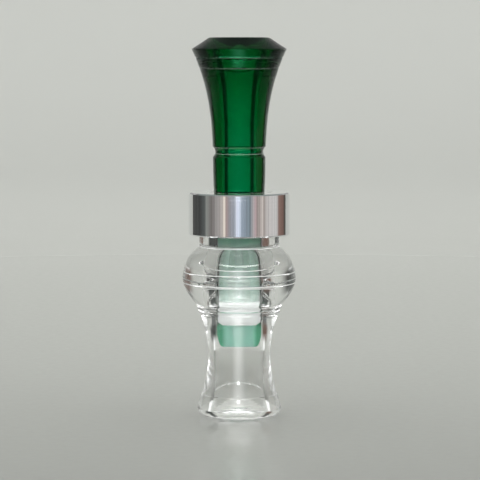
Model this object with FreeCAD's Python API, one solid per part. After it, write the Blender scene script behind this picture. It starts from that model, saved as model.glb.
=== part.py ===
import FreeCAD, Part
import math
import os

# Duck call, standing on its mouthpiece. Lengths are in millimetres.
# The origin is the centre of the mouthpiece's resting face. +Z runs up the
# call's axis to the bell, and the reeds face -Y.

# Driving dimensions
bore_radius = 8.15            # 0.64 inch bore right through the barrel
bulb_radius = 19.05           # the barrel is turned from 1 1/2 inch rod
bell_radius = 15.875          # the insert is turned from 1 1/4 inch rod
exhaust_radius = 3.97         # 5/16 inch bore down the insert
channel_radius = 3.75         # the narrower air channel that it runs into
total_height = 127.0          # 5 inches, mouthpiece face to the bell's top rim
seat_height = 75.3            # where the insert's shoulder rests on the barrel
fit_clearance = 0.06          # radial, between the tenon and the barrel's bore

# Band
band_radius = 17.0
band_length = 14.3
band_bore_radius = 11.1
band_chamfer = 0.45
band_bottom = seat_height - band_length

# Barrel
neck_radius = 13.45
neck_bottom = 57.0
bulb_middle = 46.5
bulb_bottom = 37.6
bead_radius = 14.2
notch_height = 36.05          # the fine notch between the two beads under the bulb
notch_half_width = 0.2
notch_radius = 13.9           # the beads' radius at its edges
notch_depth = 0.15
bead_bottom = 34.6
waist_radius = 10.36
waist_height = 21.0
collar_height = 7.3           # underside of the small step above the lip
lip_radius = 14.13
rest_radius = 11.8            # outer edge of the resting face
mouth_radius = 10.4           # inner edge of the resting face
mouth_depth = 11.5            # how far the flared mouth runs up the bore
ring_heights = (48.55, 44.85)   # engraved rings round the bulb
ring_radius = 18.85           # the bulb's radius there
ring_depth = 0.25
ring_half_width = 0.2

# Insert
shoulder_radius = 8.52
stem_radius = 8.84
lanyard_groove_radius = 8.05
lanyard_groove_low = 87.1
lanyard_groove_high = 90.6
bell_edge_height = 123.15
bell_top_radius = 10.0
bell_mouth_radius = 9.2
bell_line_heights = (120.2, 116.7)
bell_line_radii = (14.48, 13.28)   # the bell's radius there
bell_line_depth = 0.2
bell_line_half_width = 0.25
tenon_radius = bore_radius - fit_clearance
tenon_end = 62.5              # the full-round tenon stops here

# Tone board, the half-round below the tenon that the reeds beat against
board_radius = 8.0
board_tip = 23.5
board_nose = 29.0             # where the rounded nose begins
board_tip_radius = 5.8
board_flat_end = 56.0         # below this the face curves away from the reeds
board_curve_radius = 295.0
channel_end = 35.4            # the air channel stops under the reeds' tips
channel_taper = 7.0
exhaust_low = 69.0            # the straight length of the exhaust bore
exhaust_high = 99.0

# O-rings
ring_section = 0.8            # radius of the rubber cord
ring_gap = 0.02
ring_outer_radius = bore_radius - ring_gap
ring_groove_radius = ring_outer_radius - 2 * ring_section - ring_gap
ring_groove_width = 2.0
upper_ring_height = 73.1
lower_ring_height = 70.3

# Reeds and wedge
slot_top = 68.4               # the reeds and the wedge butt against this
slot_depth = 3.4              # from the board's face to the slot's roof
cut_reach = 20.0              # a milling cut runs this far, well past the insert's side
cut_margin = 1.0              # other cuts start this far outside what they cut
film_gap = 0.02
long_reed_thickness = 0.36
short_reed_thickness = 0.25
reed_spacing = 0.10           # held open by the dimple
reed_half_width = 7.8
reed_tip_half_width = 5.6
reed_corner = 1.7             # height of the clipped corners
long_reed_tip = 32.0
short_reed_tip = 33.0
dimple_height = 45.0
dimple_sphere = 3.0
dimple_reach = 5.0            # the dimple's sphere is cut off this far from its middle
wedge_length = 7.0
wedge_half_width = 6.2
wedge_rounding = 0.5

axis_base = FreeCAD.Vector(0, 0, 0)
axis_up = FreeCAD.Vector(0, 0, 1)


def at(radius, height):
    """A point of a turned outline."""
    return FreeCAD.Vector(radius, 0, height)


def straight(*points):
    """Straight edges through the points of an outline, each (radius, height)."""
    return [
        Part.LineSegment(at(*low), at(*high)).toShape()
        for low, high in zip(points, points[1:])
    ]


def bend(start, middle, end):
    """One circular arc of an outline."""
    return [Part.Arc(at(*start), at(*middle), at(*end)).toShape()]


def flowing(*points):
    """One smooth curve of an outline."""
    curve = Part.BSplineCurve()
    curve.interpolate([at(*point) for point in points])
    return [curve.toShape()]


def turned(edges):
    """The solid that a closed outline makes when it is turned about the axis."""
    outline = Part.Face(Part.Wire(edges))
    return outline.revolve(axis_base, axis_up, 360)


def engraved(radius, height, depth, half_width):
    """A V-shaped ring that cuts a turned surface to a depth."""
    outside = radius + half_width
    return turned(
        straight(
            (radius - depth, height),
            (outside, height + half_width + depth),
            (outside, height - half_width - depth),
            (radius - depth, height),
        )
    )


def block(low, high):
    """A box between two opposite corners."""
    size = [b - a for a, b in zip(low, high)]
    return Part.makeBox(*size, FreeCAD.Vector(*low))


def barrel():
    """Clear barrel: band seat, neck, bulb, double bead, waist and lipped mouthpiece."""
    edges = bend((mouth_radius, 0), (8.75, 5.5), (bore_radius, mouth_depth))
    edges += straight(
        (bore_radius, mouth_depth),
        (bore_radius, seat_height),
        (band_bore_radius, seat_height),
        (band_bore_radius, band_bottom),
        (neck_radius, band_bottom),
        (neck_radius, neck_bottom),
    )
    edges += flowing(
        (neck_radius, neck_bottom),
        (16.45, 54.35),
        (18.45, 49.9),
        (bulb_radius, bulb_middle),
        (17.4, 41.5),
        (bead_radius, bulb_bottom),
    )
    # two small beads with a fine notch between them
    notch_top = (notch_radius, notch_height + notch_half_width)
    notch_bottom = (notch_radius, notch_height - notch_half_width)
    edges += bend((bead_radius, bulb_bottom), (bead_radius + 0.1, 36.95), notch_top)
    edges += straight(notch_top, (notch_radius - notch_depth, notch_height), notch_bottom)
    edges += bend(notch_bottom, (13.75, 35.2), (13.3, bead_bottom))
    edges += flowing(
        (13.3, bead_bottom),
        (12.13, 31.3),
        (10.9, 26.2),
        (waist_radius, waist_height),
        (10.8, 15.0),
        (12.5, collar_height),
    )
    edges += straight((12.5, collar_height), (12.94, collar_height - 0.15))
    edges += bend((12.94, collar_height - 0.15), (13.62, 4.78), (lip_radius, 2.4))
    edges += bend((lip_radius, 2.4), (13.5, 0.85), (rest_radius, 0))
    edges += straight((rest_radius, 0), (mouth_radius, 0))
    body = turned(edges)
    for height in ring_heights:
        body = body.cut(engraved(ring_radius, height, ring_depth, ring_half_width))
    return body


def band():
    """Polished aluminium band, a plain ring with its outer edges chamfered."""
    top = band_bottom + band_length
    return turned(
        straight(
            (band_bore_radius, band_bottom),
            (band_bore_radius, top),
            (band_radius - band_chamfer, top),
            (band_radius, top - band_chamfer),
            (band_radius, band_bottom + band_chamfer),
            (band_radius - band_chamfer, band_bottom),
            (band_bore_radius, band_bottom),
        )
    )


def insert_blank():
    """The insert as it comes off the lathe, before the tone board is milled."""
    # the two edges of the bell's bevel are buffed round
    edge_low = (bell_radius - 0.035, bell_edge_height - 0.25)
    edge_high = (bell_radius - 0.145, bell_edge_height + 0.14)
    rim_low = (bell_top_radius + 0.36, total_height - 0.23)
    rim_high = (bell_top_radius - 0.4, total_height)
    edges = straight((0, board_tip), (board_tip_radius, board_tip))
    edges += bend((board_tip_radius, board_tip), (6.45, 23.75), (6.85, 24.3))
    edges += bend((6.85, 24.3), (7.65, 26.5), (board_radius, board_nose))
    edges += straight(
        (board_radius, board_nose),
        (board_radius, tenon_end),
        (tenon_radius, tenon_end),
        (tenon_radius, seat_height),
        (shoulder_radius, seat_height),
    )
    edges += bend((shoulder_radius, seat_height), (8.76, 81.2), (stem_radius, lanyard_groove_low))
    edges += bend(
        (stem_radius, lanyard_groove_low),
        (lanyard_groove_radius, 88.9),
        (8.92, lanyard_groove_high),
    )
    edges += flowing(
        (8.92, lanyard_groove_high),
        (9.41, 98.7),
        (11.13, 109.4),
        (13.05, 116.0),
        edge_low,
    )
    edges += bend(edge_low, (bell_radius - 0.02, bell_edge_height - 0.03), edge_high)
    edges += straight(edge_high, rim_low)
    edges += bend(rim_low, (bell_top_radius, total_height - 0.06), rim_high)
    edges += straight(rim_high, (0, total_height), (0, board_tip))
    return turned(edges)


def air_passage():
    """The exhaust bore, its flared mouth in the bell and the rounded end of the channel."""
    edges = bend(
        (0, channel_end),
        (channel_radius * math.sqrt(0.5), channel_end + channel_taper * (1 - math.sqrt(0.5))),
        (channel_radius, channel_end + channel_taper),
    )
    edges += straight(
        (channel_radius, channel_end + channel_taper),
        (channel_radius, exhaust_low),
        (exhaust_radius, exhaust_low),
        (exhaust_radius, exhaust_high),
    )
    edges += flowing(
        (exhaust_radius, exhaust_high),
        (4.35, 107.0),
        (5.1, 115.0),
        (6.6, 121.5),
        (bell_mouth_radius, total_height),
    )
    edges += straight((bell_mouth_radius, total_height), (0, total_height), (0, channel_end))
    return turned(edges)


def board_waste():
    """What is milled away in front of the tone board's face."""
    fall_length = board_flat_end - board_tip + 2.0
    fall = board_curve_radius - math.sqrt(board_curve_radius**2 - fall_length**2)
    half_length = fall_length / 2
    half_fall = board_curve_radius - math.sqrt(board_curve_radius**2 - half_length**2)
    top = FreeCAD.Vector(-cut_reach, 0, tenon_end)
    flat_end = FreeCAD.Vector(-cut_reach, 0, board_flat_end)
    halfway = FreeCAD.Vector(-cut_reach, half_fall, board_flat_end - half_length)
    tip = FreeCAD.Vector(-cut_reach, fall, board_flat_end - fall_length)
    front_low = FreeCAD.Vector(-cut_reach, -cut_reach, board_flat_end - fall_length)
    front_high = FreeCAD.Vector(-cut_reach, -cut_reach, tenon_end)
    outline = Part.Wire(
        [
            Part.LineSegment(top, flat_end).toShape(),
            Part.Arc(flat_end, halfway, tip).toShape(),
            Part.LineSegment(tip, front_low).toShape(),
            Part.LineSegment(front_low, front_high).toShape(),
            Part.LineSegment(front_high, top).toShape(),
        ]
    )
    return Part.Face(outline).extrude(FreeCAD.Vector(2 * cut_reach, 0, 0))


def ring_groove(height):
    """The groove in the tenon that one O-ring sits in."""
    half = ring_groove_width / 2
    return turned(
        straight(
            (ring_groove_radius, height - half),
            (ring_groove_radius, height + half),
            (bore_radius + cut_margin, height + half),
            (bore_radius + cut_margin, height - half),
            (ring_groove_radius, height - half),
        )
    )


def insert():
    """Green insert: bell, stem, tenon, slot for the wedge and tone board, in one piece."""
    body = insert_blank().cut(air_passage()).cut(board_waste())
    slot = block((-cut_reach, -slot_depth, tenon_end - cut_margin), (cut_reach, 0, slot_top))
    body = body.cut(slot)
    for height in (upper_ring_height, lower_ring_height):
        body = body.cut(ring_groove(height))
    for height, radius in zip(bell_line_heights, bell_line_radii):
        body = body.cut(engraved(radius, height, bell_line_depth, bell_line_half_width))
    return body


def o_ring(height):
    """One rubber O-ring round the tenon."""
    return Part.makeTorus(
        ring_outer_radius - ring_section,
        ring_section,
        FreeCAD.Vector(0, 0, height),
        axis_up,
    )


def reed(tip, face, thickness):
    """A flat reed with clipped tip corners. Its back face lies at y = -face."""
    corner = tip + reed_corner
    outline = [
        FreeCAD.Vector(-reed_half_width, -face, slot_top),
        FreeCAD.Vector(-reed_half_width, -face, corner),
        FreeCAD.Vector(-reed_tip_half_width, -face, tip),
        FreeCAD.Vector(reed_tip_half_width, -face, tip),
        FreeCAD.Vector(reed_half_width, -face, corner),
        FreeCAD.Vector(reed_half_width, -face, slot_top),
        FreeCAD.Vector(-reed_half_width, -face, slot_top),
    ]
    return Part.Face(Part.makePolygon(outline)).extrude(FreeCAD.Vector(0, -thickness, 0))


long_reed_face = film_gap
short_reed_face = long_reed_face + long_reed_thickness + reed_spacing
wedge_face = short_reed_face + short_reed_thickness + film_gap


def long_reed():
    """The lower reed, next to the tone board."""
    return reed(long_reed_tip, long_reed_face, long_reed_thickness)


def short_reed():
    """The upper reed, with a pressed dimple that keeps it off the lower one."""
    sheet = reed(short_reed_tip, short_reed_face, short_reed_thickness)
    rise = reed_spacing - film_gap
    centre = FreeCAD.Vector(0, rise - short_reed_face - dimple_sphere, dimple_height)
    bump = Part.makeSphere(dimple_sphere, centre)
    behind = block(
        (-dimple_reach, -short_reed_face - short_reed_thickness / 2, dimple_height - dimple_reach),
        (dimple_reach, 0, dimple_height + dimple_reach),
    )
    dent_centre = centre - FreeCAD.Vector(0, short_reed_thickness, 0)
    dent = Part.makeSphere(dimple_sphere, dent_centre)
    return sheet.fuse(bump.common(behind)).cut(dent).removeSplitter()


def wedge():
    """Rubber wedge that holds the reeds down in the slot, rounded at its outer end."""
    body = block(
        (-wedge_half_width, -slot_depth, slot_top - wedge_length),
        (wedge_half_width, -wedge_face, slot_top),
    )
    front = [
        edge
        for edge in body.Edges
        if abs(edge.CenterOfMass.y + slot_depth) < 1e-6 and edge.CenterOfMass.z < slot_top - 0.1
    ]
    return body.makeFillet(wedge_rounding, front)


pieces = {
    "barrel": barrel(),
    "band": band(),
    "insert": insert(),
    "upper_o_ring": o_ring(upper_ring_height),
    "lower_o_ring": o_ring(lower_ring_height),
    "long_reed": long_reed(),
    "short_reed": short_reed(),
    "wedge": wedge(),
}

os.makedirs("parts", exist_ok=True)
for name, shape in pieces.items():
    (solid,) = shape.Solids
    solid.exportStep(os.path.join("parts", name + ".step"))
    print(name, solid.isValid(), round(solid.Volume, 1))
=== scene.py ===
import math

import bmesh
import bpy
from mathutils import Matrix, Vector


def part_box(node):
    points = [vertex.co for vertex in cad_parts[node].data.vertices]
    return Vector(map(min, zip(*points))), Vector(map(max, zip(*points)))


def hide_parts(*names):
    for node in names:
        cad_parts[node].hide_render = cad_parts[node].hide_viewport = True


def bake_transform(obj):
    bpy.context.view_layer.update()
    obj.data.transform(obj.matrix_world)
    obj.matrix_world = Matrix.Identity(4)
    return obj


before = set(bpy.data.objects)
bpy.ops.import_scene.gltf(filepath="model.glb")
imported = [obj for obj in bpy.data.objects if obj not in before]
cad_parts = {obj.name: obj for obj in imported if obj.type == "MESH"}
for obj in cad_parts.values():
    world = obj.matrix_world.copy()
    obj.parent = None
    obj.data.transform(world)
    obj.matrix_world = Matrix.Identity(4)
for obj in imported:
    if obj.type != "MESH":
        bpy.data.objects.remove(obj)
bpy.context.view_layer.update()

# ---------------------------------------------------------------- sizes
MM = 0.001
CAMERA_DISTANCE = 0.817
CAMERA_TILT = math.radians(4.85)          # downwards
CAMERA_LENS = 183.0                       # millimetres, on a 36 mm sensor
CAMERA_SIDE = 0.27 * MM
AIM_HEIGHT = 59.1 * MM
FLOOR_RADIUS = 0.60
WALL_RADIUS = 1.25
WALL_HEIGHT = 1.1
ROOM_RADIUS = 1.15
ROOM_WALL = [(ROOM_RADIUS, -0.15), (ROOM_RADIUS, 0.9)]

# Lines on turned pieces, each a height and a half width in millimetres
BARREL_LINES = ((48.55, 0.16), (44.85, 0.16), (57.05, 0.14))
BELL_LINES = ((120.2, 0.12), (116.7, 0.12))
GROOVE_HIGHLIGHT_LINES = ((90.35, 0.22), (88.2, 0.16))   # painted highlights: pale matt lines along the lanyard groove's edges

# Reeds and tone board
REED_HALF_WIDTH = 7.8
REED_TIP_HALF_WIDTH = 5.6
REED_ROWS = 60
REED_COLUMNS = 12
REED_CORNER = 1.7 * MM                    # height of the clipped corners
FROST_TOP = 43.1 * MM                     # the reeds are frosted below this height
REED_EDGE = (7.0 * MM, 7.6 * MM)          # the film clears between these distances from the middle, and painted shade tints what shows through it deep green
REED_ROOT = (55.0 * MM, 59.0 * MM)        # the film gets greener and denser between these heights
BOARD_TOP = 62.5 * MM                     # the tone board's face ends here
BOARD_EDGE = (3.8 * MM, 6.3 * MM)         # the face's colour deepens between these distances

scene = bpy.context.scene
scene.view_settings.view_transform = "Standard"
scene.view_settings.look = "None"
scene.cycles.max_bounces = 40
scene.cycles.glossy_bounces = 30          # light is trapped many times inside polished acrylic
scene.cycles.transmission_bounces = 30


# ---------------------------------------------------------------- helpers
class Graph:
    """A material's node tree, with short ways to add and join nodes."""

    def __init__(self, name):
        self.made = bpy.data.materials.new(name)
        self.made.use_nodes = True
        self.tree = self.made.node_tree
        self.tree.nodes.clear()
        self.out = self.tree.nodes.new("ShaderNodeOutputMaterial")

    def add(self, kind, inputs=None, **settings):
        """A node. Each input is a value, or the output socket that feeds it."""
        made = self.tree.nodes.new("ShaderNode" + kind)
        for key, value in settings.items():
            setattr(made, key, value)
        for key, value in (inputs or {}).items():
            if isinstance(value, bpy.types.NodeSocket):
                self.tree.links.new(value, made.inputs[key])
            else:
                made.inputs[key].default_value = value
        return made

    def math(self, operation, *values):
        return self.add("Math", dict(enumerate(values)), operation=operation).outputs[0]

    def place(self):
        """The x, y and z of a point on the piece, in metres."""
        coordinates = self.add("TexCoord").outputs["Object"]
        return self.add("SeparateXYZ", {0: coordinates}).outputs

    def azimuth(self):
        """The direction of a point from the Z axis in degrees, 0 towards -Y and growing towards +X."""
        x, y, z = self.place()
        return self.math("DEGREES", self.math("ARCTAN2", x, self.math("MULTIPLY", y, -1.0)))

    def near(self, value, centre, half_width):
        """1 where value is at centre, fading to 0 a half width away."""
        distance = self.math("ABSOLUTE", self.math("SUBTRACT", value, centre))
        return self.ramp(distance, half_width, half_width * 0.6)

    def ramp(self, value, zero_at, one_at):
        """0 at one value and 1 at another, clamped."""
        return self.add(
            "MapRange",
            {"Value": value, "From Min": zero_at, "From Max": one_at},
            interpolation_type="SMOOTHSTEP",
        ).outputs[0]

    def blend(self, share, first, second):
        """The first colour where share is 0, and the second where it is 1."""
        made = self.add("Mix", data_type="RGBA")
        for index, value in ((0, share), (6, first), (7, second)):
            if isinstance(value, bpy.types.NodeSocket):
                self.tree.links.new(value, made.inputs[index])
            else:
                made.inputs[index].default_value = value
        return made.outputs[2]

    def lathe_noise(self, scale, detail=3.0):
        """Noise in rings round the axis, as a lathe leaves it. Scale is rings per metre."""
        x, y, z = self.place()
        vector = self.add("CombineXYZ", {"Z": self.math("MULTIPLY", z, scale)}).outputs[0]
        return self.add("TexNoise", {"Vector": vector, "Scale": 1.0, "Detail": detail}).outputs[0]

    def finish(self, surface, volume=None):
        self.tree.links.new(surface, self.out.inputs["Surface"])
        if volume is not None:
            self.tree.links.new(volume, self.out.inputs["Volume"])
        return self.made


def mesh_object(name, mesh_data):
    made = bpy.data.objects.new(name, mesh_data)
    scene.collection.objects.link(made)
    return made


# ---------------------------------------------------------------- materials
def turned_line_mask(graph, lines):
    """1 in the given lines round a turned piece: engraved lines with matt tool marks, and pale matt lines
    that are painted highlights.
    """
    x, y, z = graph.place()
    mask = 0.0
    for height, half_width in lines:
        mask = graph.math("MAXIMUM", mask, graph.near(z, height * MM, half_width * MM))
    return mask


def polished(graph, matt, clear_colour, matt_colour, **more):
    """Polished acrylic, where matt is the share of a matt surface at each point: tooled and sanded parts,
    and painted highlight lines.
    """
    # the lathe marks are plainer in the mouth's flare
    mouth = graph.ramp(graph.place()[2], 13.0 * MM, 9.0 * MM)
    strength = graph.math("ADD", 0.035, graph.math("MULTIPLY", mouth, 0.35))
    marks = graph.lathe_noise(900.0)
    bump = graph.add("Bump", {"Strength": strength, "Distance": 0.0001, "Height": marks})
    inputs = {
        "Base Color": graph.blend(matt, clear_colour, matt_colour),
        "Roughness": graph.math("MULTIPLY", matt, 0.5),
        "IOR": 1.49,
        "Transmission Weight": graph.math("SUBTRACT", 1.0, matt),
        "Normal": bump.outputs[0],
    }
    inputs.update(more)
    return graph.add("BsdfPrincipled", inputs).outputs[0]


def clear_acrylic():
    graph = Graph("clear_acrylic")
    matt = graph.math("MULTIPLY", turned_line_mask(graph, BARREL_LINES), 0.7)
    return graph.finish(polished(graph, matt, (0.985, 0.99, 0.985, 1), (0.96, 0.96, 0.95, 1)))


def green_acrylic():
    graph = Graph("green_acrylic")
    x, y, z = graph.place()
    across = graph.math("ABSOLUTE", x)
    # the tone board's face is milled and sanded by hand, and its rounded edges show the dye at its deepest
    facing = graph.add("SeparateXYZ", {0: graph.add("NewGeometry").outputs["True Normal"]}).outputs[1]
    below_tenon = graph.ramp(z, BOARD_TOP + 0.1 * MM, BOARD_TOP - 0.1 * MM)
    board = graph.math("MULTIPLY", graph.ramp(facing, -0.9, -0.98), below_tenon)
    edge = graph.ramp(across, *BOARD_EDGE)
    face = graph.blend(edge, (0.18, 0.72, 0.56, 1), (0.006, 0.36, 0.17, 1))
    # painted shade: the board goes nearly black along and beside the reeds' edges above the tip
    beside = graph.ramp(across, 6.7 * MM, 7.4 * MM)
    reed_edge_shade = graph.math("MULTIPLY", beside, graph.ramp(z, 31.0 * MM, 33.0 * MM))
    face = graph.blend(reed_edge_shade, face, (0.001, 0.06, 0.025, 1))
    # the board's sides just behind the face are sanded too
    behind_face = graph.ramp(y, 3.2 * MM, 2.2 * MM)
    rim = graph.math("MULTIPLY", behind_face, graph.ramp(z, 62.0 * MM, 61.0 * MM))
    rim = graph.math("MULTIPLY", rim, graph.ramp(across, 5.0 * MM, 5.6 * MM))
    board = graph.math("MAXIMUM", board, rim)
    line = graph.math("MULTIPLY", turned_line_mask(graph, BELL_LINES), 0.15)
    # the groove lines are painted highlights: pale matt lines that the softbox lights
    line = graph.math("MAXIMUM", line, graph.math("MULTIPLY", turned_line_mask(graph, GROOVE_HIGHLIGHT_LINES), 0.14))
    sanded = graph.math("MULTIPLY", board, graph.math("ADD", 0.6, graph.math("MULTIPLY", edge, 0.3)))
    matt = graph.math("MAXIMUM", sanded, line)
    # matt colour of the sanded face and the engraved bell lines, also of the painted groove highlights and
    # the painted shade beside the reeds
    tooled_colour_and_painted_light = graph.blend(board, (0.3, 0.55, 0.45, 1), face)
    tint = {"Specular Tint": (0.08, 0.35, 0.22, 1)}
    shader = polished(graph, matt, (0.98, 1, 0.99, 1), tooled_colour_and_painted_light, **tint)
    dye = graph.add("VolumeAbsorption", {"Color": (0.0, 0.86, 0.74, 1), "Density": 1050.0})
    return graph.finish(shader, dye.outputs[0])


def aluminium():
    graph = Graph("aluminium")
    marks = graph.lathe_noise(1700.0, 6.0)
    bump = graph.add("Bump", {"Strength": 0.2, "Distance": 0.00003, "Height": marks})
    rough = graph.add("MapRange", {"Value": marks, "To Min": 0.025, "To Max": 0.07})
    shader = graph.add(
        "BsdfPrincipled",
        {
            "Base Color": graph.blend(marks, (0.84, 0.845, 0.86, 1), (0.93, 0.935, 0.95, 1)),
            "Metallic": 1.0,
            "Roughness": rough.outputs[0],
            "Normal": bump.outputs[0],
        },
    )
    return graph.finish(shader.outputs[0])


def reed_film():
    """Polyester film, frosted white towards the tip, clearer above and greener at the root, with painted
    shade at its side edges.
    """
    graph = Graph("reed_film")
    x, y, z = graph.place()
    across = graph.math("ABSOLUTE", x)
    root = graph.ramp(z, *REED_ROOT)
    frost = graph.ramp(z, FROST_TOP + 0.4 * MM, FROST_TOP - 0.4 * MM)
    coordinates = graph.add("TexCoord").outputs["Object"]
    grain = graph.add("TexNoise", {"Vector": coordinates, "Scale": 900.0, "Detail": 4.0}).outputs[0]
    share = graph.add("MapRange", {"Value": frost, "To Min": 0.11, "To Max": 0.9}).outputs[0]
    share = graph.math("ADD", share, graph.math("MULTIPLY", grain, 0.05))
    share = graph.math("ADD", share, graph.math("MULTIPLY", root, 0.35))
    share = graph.math("MULTIPLY", share, graph.ramp(across, *REED_EDGE[::-1]))
    white = graph.blend(root, (0.96, 0.98, 0.97, 1), (0.50, 0.95, 0.75, 1))
    diffuse = graph.add("BsdfDiffuse", {"Color": white}).outputs[0]
    glow = graph.add("BsdfTranslucent", {"Color": white}).outputs[0]
    matt = graph.add("MixShader", {0: 0.35, 1: diffuse, 2: glow}).outputs[0]
    # painted shade: at the film's side edges what shows through it is tinted deep green
    clear = graph.blend(graph.ramp(across, *REED_EDGE), (0.96, 0.98, 0.97, 1), (0.03, 0.22, 0.13, 1))
    see = graph.add("BsdfTransparent", {"Color": clear}).outputs[0]
    film = graph.add("MixShader", {0: share, 1: see, 2: matt}).outputs[0]
    gloss = graph.add("BsdfGlossy", {"Color": (1, 1, 1, 1), "Roughness": 0.25}).outputs[0]
    return graph.finish(graph.add("MixShader", {0: 0.05, 1: film, 2: gloss}).outputs[0])


def black_rubber():
    graph = Graph("black_rubber")
    coordinates = graph.add("TexCoord").outputs["Object"]
    grain = graph.add("TexNoise", {"Vector": coordinates, "Scale": 2500.0, "Detail": 3.0})
    rough = graph.add("MapRange", {"Value": grain.outputs[0], "To Min": 0.4, "To Max": 0.65})
    bump = graph.add("Bump", {"Strength": 0.3, "Distance": 0.00005, "Height": grain.outputs[0]})
    shader = graph.add(
        "BsdfPrincipled",
        {"Base Color": (0.012, 0.012, 0.013, 1), "Roughness": rough.outputs[0], "Normal": bump.outputs[0]},
    )
    return graph.finish(shader.outputs[0])


def assign(name, made):
    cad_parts[name].material_slots[0].link = "OBJECT"
    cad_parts[name].material_slots[0].material = made


film = reed_film()
rubber = black_rubber()
assign("barrel", clear_acrylic())
assign("insert", green_acrylic())
assign("band", aluminium())
for name in ("upper_o_ring", "lower_o_ring", "wedge"):
    assign(name, rubber)


# ---------------------------------------------------------------- reeds
def outer_loop(rows):
    """The points round the outside of a grid, up its left side first."""
    left = [row[0] for row in rows]
    right = [row[-1] for row in rows[-2::-1]]
    return left + rows[-1][1:] + right + rows[0][-2:0:-1]


def reed(node, piece_name):
    """A thin reed with clipped tip corners in the place of its flat CAD sheet."""
    low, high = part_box(node)
    half_width = high.x
    tip_share = REED_TIP_HALF_WIDTH / REED_HALF_WIDTH
    built = bmesh.new()
    heights = [low.z + REED_CORNER * i / 4 for i in range(4)]
    straight = high.z - low.z - REED_CORNER
    heights += [low.z + REED_CORNER + straight * i / REED_ROWS for i in range(REED_ROWS + 1)]
    sheets = []
    for y in (low.y, high.y):
        rows = []
        for z in heights:
            clipped = min(1.0, (z - low.z) / REED_CORNER)
            width = half_width * (tip_share + (1 - tip_share) * clipped)
            across = [width * (2 * i / REED_COLUMNS - 1) for i in range(REED_COLUMNS + 1)]
            rows.append([built.verts.new((x, y, z)) for x in across])
        sheets.append(rows)
    front, back = sheets
    for a, b in ((front, False), (back, True)):
        for upper, lower in zip(a, a[1:]):
            for i in range(REED_COLUMNS):
                corners = (upper[i], upper[i + 1], lower[i + 1], lower[i])
                built.faces.new(corners[::-1] if b else corners)
    rim, rim_back = outer_loop(front), outer_loop(back)
    for i in range(len(rim)):
        j = (i + 1) % len(rim)
        built.faces.new((rim[i], rim[j], rim_back[j], rim_back[i]))
    bmesh.ops.recalc_face_normals(built, faces=built.faces)
    data = bpy.data.meshes.new(piece_name)
    built.to_mesh(data)
    built.free()
    data.materials.append(film)
    piece = mesh_object(piece_name, data)
    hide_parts(node)
    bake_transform(piece)
    return piece


reeds = [reed(name, name + "_film") for name in ("long_reed", "short_reed")]


# ---------------------------------------------------------------- stage
def paper(name, near, middle, far):
    """Pale paper with painted light: its colour gets lighter from the front of the table to the wall behind
    it.
    """
    graph = Graph(name)
    x, y, z = graph.place()
    grain = graph.add("TexNoise", {"Scale": 400.0, "Detail": 3.0})
    # painted light: the paper's colour brightens from the front of the table to the wall
    colour = graph.blend(graph.ramp(y, -0.25, 0.35), near, middle)
    colour = graph.blend(graph.ramp(y, 0.2, 1.2), colour, far)
    rough = graph.add("MapRange", {"Value": grain.outputs[0], "To Min": 0.2, "To Max": 0.26})
    shader = graph.add("BsdfPrincipled", {"Base Color": colour, "Roughness": rough.outputs[0], "IOR": 1.45})
    return graph.finish(shader.outputs[0])


def swept_ring(name, outline, start, end, steps, made):
    """A sheet that an outline of (radius, height) sweeps between two azimuths, 0 towards the camera."""
    built = bmesh.new()
    columns = []
    for i in range(steps + 1):
        azimuth = math.radians(start + (end - start) * i / steps)
        columns.append(
            [built.verts.new((r * math.sin(azimuth), -r * math.cos(azimuth), z)) for r, z in outline]
        )
    for left, right in zip(columns, columns[1:]):
        for i in range(len(outline) - 1):
            built.faces.new((left[i], right[i], right[i + 1], left[i + 1]))
    data = bpy.data.meshes.new(name)
    built.to_mesh(data)
    built.free()
    for face in data.polygons:
        face.use_smooth = True
    data.materials.append(made)
    piece = mesh_object(name, data)
    return piece


pale = paper("pale_paper", (0.485, 0.49, 0.465, 1), (0.645, 0.65, 0.62, 1), (0.905, 0.91, 0.88, 1))
floor_z = -0.05 * MM
swept_ring("floor", [(0.5 * MM, floor_z), (FLOOR_RADIUS, floor_z)], 0, 360, 96, pale)
COVE = WALL_RADIUS - FLOOR_RADIUS
cove = [
    (FLOOR_RADIUS + COVE * math.sin(t), floor_z + COVE * (1 - math.cos(t)))
    for t in [math.pi / 2 * i / 24 for i in range(25)]
] + [(WALL_RADIUS, WALL_HEIGHT)]
swept_ring("backdrop", cove, 130, 230, 48, pale)
sides = swept_ring("surround", cove, -130, 130, 96, pale)
sides.visible_glossy = False
sides.visible_transmission = False

world = bpy.data.worlds.new("soft_studio")
scene.world = world
world.use_nodes = True
world.node_tree.nodes["Background"].inputs["Color"].default_value = (0.985, 1.0, 0.985, 1)
world.node_tree.nodes["Background"].inputs["Strength"].default_value = 1.12

# the lights and cards shine on the object alone
lit_pieces = bpy.data.collections.new("lit_pieces")
for name in ("barrel", "band", "insert", "upper_o_ring", "lower_o_ring", "wedge"):
    lit_pieces.objects.link(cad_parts[name])
for piece in reeds:
    lit_pieces.objects.link(piece)


def hidden_light(piece, glossy=True, through=True, matt=False):
    """A light or card that shows only in reflections, through the acrylic or on its matt lines."""
    piece.visible_camera = False
    piece.visible_diffuse = matt
    piece.visible_shadow = False
    piece.visible_glossy = glossy
    piece.visible_transmission = through
    piece.light_linking.receiver_collection = lit_pieces


def soft_window(graph, start, end, soft):
    """1 between two azimuths, in degrees, fading to 0 over soft degrees inside each end."""
    azimuth = graph.azimuth()
    rise = graph.ramp(azimuth, start, start + soft)
    return graph.math("MULTIPLY", rise, graph.ramp(azimuth, end, end - soft))


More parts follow.
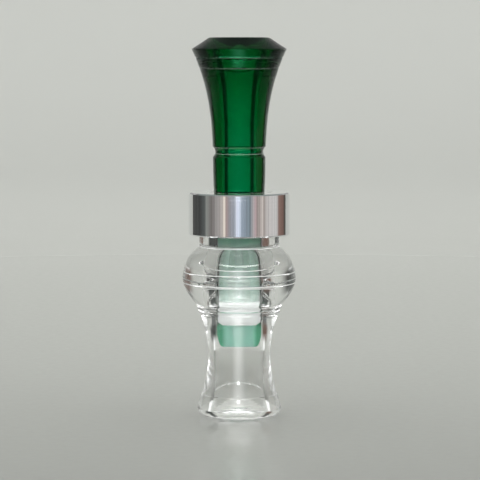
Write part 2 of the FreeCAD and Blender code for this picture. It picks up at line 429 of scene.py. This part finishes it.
def card(name, azimuths, outline, colour, strength, soft=0.5, fade=0.0, **seen):
    """
    A curved card or softbox round the object, which shines inwards between two azimuths.

    Its outline is (radius, height) points. It fades over soft degrees at its sides and over
    fade metres at its top and bottom. The other settings say how it is seen.
    """
    start, end = azimuths
    graph = Graph(name)
    glow = graph.add("Emission", {"Color": colour + (1,), "Strength": strength}).outputs[0]
    shown = soft_window(graph, start, end, soft)
    inside = graph.add("NewGeometry").outputs["Backfacing"]
    shown = graph.math("MULTIPLY", shown, inside)
    if fade:
        height = graph.place()[2]
        bottom, top = outline[0][1], outline[-1][1]
        shown = graph.math("MULTIPLY", shown, graph.ramp(height, bottom, bottom + fade))
        shown = graph.math("MULTIPLY", shown, graph.ramp(height, top, top - fade))
    empty = graph.add("BsdfTransparent").outputs[0]
    glow = graph.add("MixShader", {0: shown, 1: empty, 2: glow}).outputs[0]
    piece = swept_ring(name, outline, start, end, max(2, int((end - start) / 3)), graph.finish(glow))
    hidden_light(piece, **seen)


# What the object mirrors, round the room: azimuth 0 is towards the camera and grows towards +X.
MIRRORED = (
    (-180, (0.42, 0.42, 0.41)),
    (-144, (0.38, 0.38, 0.37)),
    (-136, (0.085, 0.085, 0.08)),
    (-98, (0.06, 0.062, 0.06)),
    (-86, (0.10, 0.11, 0.105)),
    (-78, (0.26, 0.27, 0.25)),
    (-66, (0.18, 0.165, 0.155)),
    (-50, (0.36, 0.34, 0.325)),
    (-39, (0.46, 0.42, 0.39)),
    (-34, (0.86, 0.78, 0.68)),
    (-29, (0.40, 0.31, 0.29)),
    (-21, (0.29, 0.29, 0.31)),
    (-10, (0.38, 0.41, 0.46)),
    (-4, (0.76, 0.81, 0.93)),
    (0, (0.72, 0.80, 0.92)),
    (5, (0.33, 0.39, 0.46)),
    (24, (0.20, 0.245, 0.27)),
    (31, (0.40, 0.38, 0.38)),
    (37, (0.55, 0.42, 0.42)),
    (42, (0.30, 0.26, 0.24)),
    (53, (0.58, 0.52, 0.48)),
    (58, (0.38, 0.34, 0.31)),
    (66, (0.55, 0.52, 0.50)),
    (94, (0.60, 0.59, 0.57)),
    (101, (0.24, 0.16, 0.135)),
    (118, (0.19, 0.12, 0.10)),
    (126, (0.07, 0.068, 0.06)),
    (131, (0.09, 0.09, 0.085)),
    (138, (0.34, 0.34, 0.33)),
    (180, (0.42, 0.42, 0.41)),
)


def mirrored_room():
    """The soft lights and dark corners of a room, seen only in the object's polished surfaces."""
    graph = Graph("mirrored_room")
    azimuth = graph.azimuth()
    turn = graph.add("MapRange", {"Value": azimuth, "From Min": -180.0, "From Max": 180.0})
    ramp = graph.add("ValToRGB", {0: turn.outputs[0]})
    stops = ramp.color_ramp.elements
    for place, colour in MIRRORED[1:-1]:
        stops.new((place + 180) / 360)
    for stop, (place, colour) in zip(stops, MIRRORED):
        stop.position = (place + 180) / 360
        stop.color = colour + (1,)
    along = graph.add("CombineXYZ", {"X": azimuth, "Z": graph.math("MULTIPLY", graph.place()[2], 1.5)})
    streaks = graph.add("TexNoise", {"Vector": along.outputs[0], "Scale": 0.42, "Detail": 7.0})
    contrast = {"From Min": 0.3, "From Max": 0.7, "To Min": 0.5, "To Max": 1.5}
    strength = graph.add("MapRange", {"Value": streaks.outputs[0], **contrast})
    glow = graph.add("Emission", {"Color": ramp.outputs[0], "Strength": strength.outputs[0]})
    room = swept_ring("room", ROOM_WALL, -180, 180, 120, graph.finish(glow.outputs[0]))
    hidden_light(room, through=False)


mirrored_room()

# Outlines of the cards round the object, low point first
LOW_WALL = [(1.1, -0.15), (1.1, 0.24)]
NEAR_WALL = [(0.11, 0.03), (0.11, 0.072)]
HIGH_WALL = [(0.16, 0.06), (0.16, 0.2)]
CEILING = [(ROOM_RADIUS, 0.9), (0.01, 0.95)]
SOFTBOX = [(1.0, 0.28), (0.9, 0.85)]
LOW_GLOW = [(0.03, 0.3 * MM), (0.13, 0.3 * MM), (0.13, 20 * MM)]
WHITE = (1, 1, 1)

# Dark cards, which stand for the dark parts of the room
card("dark_ceiling", (-180, 180), CEILING, (0.9, 1.0, 0.95), 0.3, through=False)
card("dark_left", (-154, -86), NEAR_WALL, (0.9, 1.0, 0.95), 0.05, soft=15, fade=0.016, glossy=False)
card("dark_right", (92, 148), NEAR_WALL, (1.0, 0.58, 0.45), 0.14, soft=13, fade=0.016, glossy=False)
card("dark_slit", (70, 98), NEAR_WALL, (1.0, 0.85, 0.7), 0.10, soft=8, fade=0.016, glossy=False)
card("dark_high_left", (-136, -92), HIGH_WALL, (0.9, 1.0, 0.95), 0.08, soft=5, fade=0.008, glossy=False)
card("dark_high_right", (92, 136), HIGH_WALL, (0.9, 1.0, 0.95), 0.08, soft=5, fade=0.008, glossy=False)
card("dim_front", (-97, 102), LOW_WALL, (0.95, 1.0, 1.0), 0.22, soft=8, glossy=False)

# Lights
card("softbox", (-75, 75), SOFTBOX, WHITE, 7.0, soft=50, fade=0.2, glossy=False, matt=True)
card("strip", (-62, 62), [(0.95, 0.72), (0.93, 0.84)], WHITE, 12.0, soft=25, fade=0.03)
card("flash", (-9, 3), [(0.85, 0.35), (0.85, 0.39)], WHITE, 25.0, soft=3)
card("low_flash", (-9, 3), [(0.85, 0.22), (0.85, 0.25)], WHITE, 25.0, soft=3)
card("key_light", (-30, 24), [(0.95, 0.03), (0.9, 0.6)], WHITE, 5.0, soft=25, through=False)
card("low_glow", (-30, 24), LOW_GLOW, WHITE, 5.0, soft=25, through=False)

# ---------------------------------------------------------------- camera
camera = bpy.data.objects.new("camera", bpy.data.cameras.new("camera"))
scene.collection.objects.link(camera)
camera.data.lens = CAMERA_LENS
camera.location = (CAMERA_SIDE, -CAMERA_DISTANCE, AIM_HEIGHT + CAMERA_DISTANCE * math.tan(CAMERA_TILT))
camera.rotation_euler = (math.pi / 2 - CAMERA_TILT, 0, 0)
scene.camera = camera
